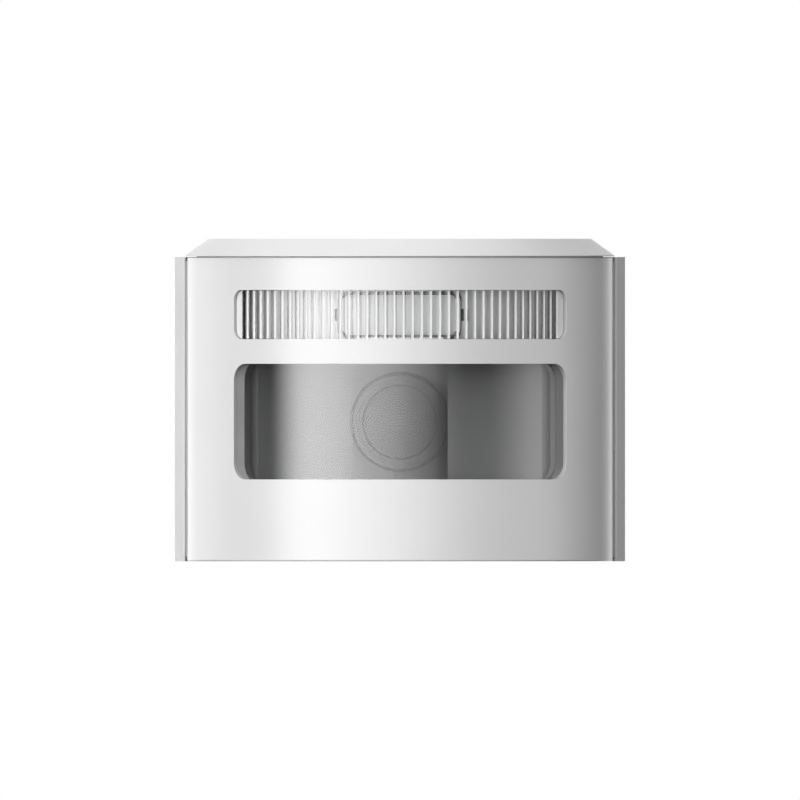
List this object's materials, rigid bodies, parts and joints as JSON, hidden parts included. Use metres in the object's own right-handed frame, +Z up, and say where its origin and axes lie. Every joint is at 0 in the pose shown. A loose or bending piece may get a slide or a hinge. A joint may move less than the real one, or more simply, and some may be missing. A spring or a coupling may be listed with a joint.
{
  "type": "lidar scanner module",
  "caption": "Half-round laser scanner module with a tinted scan window, a ribbed light bar, a bevelled cap, a rear mounting face and a spinning mirror inside.",
  "frame": {"origin": "on the base plane, below the centre of the outer box", "axes": "+X to the right seen from the front, +Y out of the rear mounting face, +Z up; the scan window looks towards -Y"},
  "size_m": [0.1354, 0.091, 0.097],
  "materials": {
    "cover_plastic": "satin",
    "housing_plastic": "satin",
    "cap_plastic": "satin",
    "bezel_plastic": "satin",
    "window_tint": "polished",
    "lens_clear": "polished",
    "seal_rubber": "matte",
    "screw_steel": "zinc plated",
    "insert_brass": "turned",
    "frame_aluminium": "cast and machined",
    "chamber_black": "matte",
    "bearing_steel": "ground",
    "board_mask": "solder mask",
    "lamination_steel": "stacked laminations",
    "coil_copper": "enamelled wire",
    "shaft_steel": "ground",
    "bell_steel": "turned and plated",
    "magnet_ferrite": "bonded",
    "disc_steel": "etched",
    "sensor_black": "moulded",
    "holder_black": "black anodised",
    "mirror_coat": "first surface",
    "lens_glass": "coated",
    "splitter_coat": "dichroic coated",
    "laser_brass": "turned",
    "can_steel": "plated",
    "bracket_steel": "zinc plated",
    "reflector_white": "moulded",
    "diffuser_milk": "satin",
    "lamp_white": "moulded",
    "lamp_board_mask": "white solder mask",
    "chip_black": "moulded",
    "socket_plastic": "moulded",
    "sink_aluminium": "extruded",
    "button_plastic": "moulded",
    "plug_steel": "nickel plated",
    "pin_gold": "gold plated",
    "vent_black": "moulded"
  },
  "bodies": {
    "housing": {"rear_housing": "housing_plastic", "top_cap": "cap_plastic", "cap_seal": "seal_rubber", "base_seal": "seal_rubber", "base_plate": "housing_plastic", "mount_inserts": "insert_brass", "cover_screws": "screw_steel", "cap_screws": "screw_steel", "base_screws": "screw_steel", "frame_screws": "screw_steel", "optics_frame": "frame_aluminium", "scan_chamber": "chamber_black", "bearing_tube": "insert_brass", "bearing_lower": "bearing_steel", "bearing_upper": "bearing_steel", "motor_board": "board_mask", "stator_core": "lamination_steel", "stator_coils": "coil_copper", "encoder_sensor": "sensor_black", "lens_tube": "holder_black", "lens_retainer": "holder_black", "objective_lens": "lens_glass", "splitter_block": "holder_black", "beam_splitter": "splitter_coat", "laser_holder": "laser_brass", "laser_diode": "can_steel", "laser_board": "board_mask", "photodiode": "can_steel", "detector_board": "board_mask", "detector_shield": "can_steel", "light_bracket": "bracket_steel", "light_reflector": "reflector_white", "light_box": "reflector_white", "lamp_diffuser": "diffuser_milk", "led_board": "lamp_board_mask", "leds": "lamp_white", "main_board": "board_mask", "board_chips": "chip_black", "heat_sink": "sink_aluminium", "board_connectors": "socket_plastic", "interface_board": "board_mask", "reset_switch": "sensor_black", "plug_shell": "plug_steel", "plug_nut": "plug_steel", "plug_insert": "chip_black", "plug_pins": "pin_gold", "vent_plug": "vent_black"},
    "cover": {"front_cover": "cover_plastic", "window_gasket": "seal_rubber", "window_bezel": "bezel_plastic", "scan_window": "window_tint", "light_lens": "lens_clear"},
    "scan_rotor": {"motor_shaft": "shaft_steel", "rotor_bell": "bell_steel", "magnet_ring": "magnet_ferrite", "encoder_disc": "disc_steel", "mirror_holder": "holder_black", "scan_mirror": "mirror_coat", "hub_screws": "screw_steel"},
    "button": {"reset_button": "button_plastic"}
  },
  "joints": [
    {"name": "cover_removal", "type": "slide", "parent": "housing", "child": "cover", "axis": [0, -1, 0], "range_m": [0, 0.1]},
    {"name": "mirror_spin", "type": "hinge", "parent": "housing", "child": "scan_rotor", "pos_m": [0, 0.019, 0.042], "axis": [0, 0, 1], "continuous": true},
    {"name": "reset_press", "type": "slide", "parent": "housing", "child": "button", "axis": [0, -1, 0], "range_m": [0, 0.0006], "stiffness_N_per_m": 1500, "springref_m": -0.0003}
  ]
}
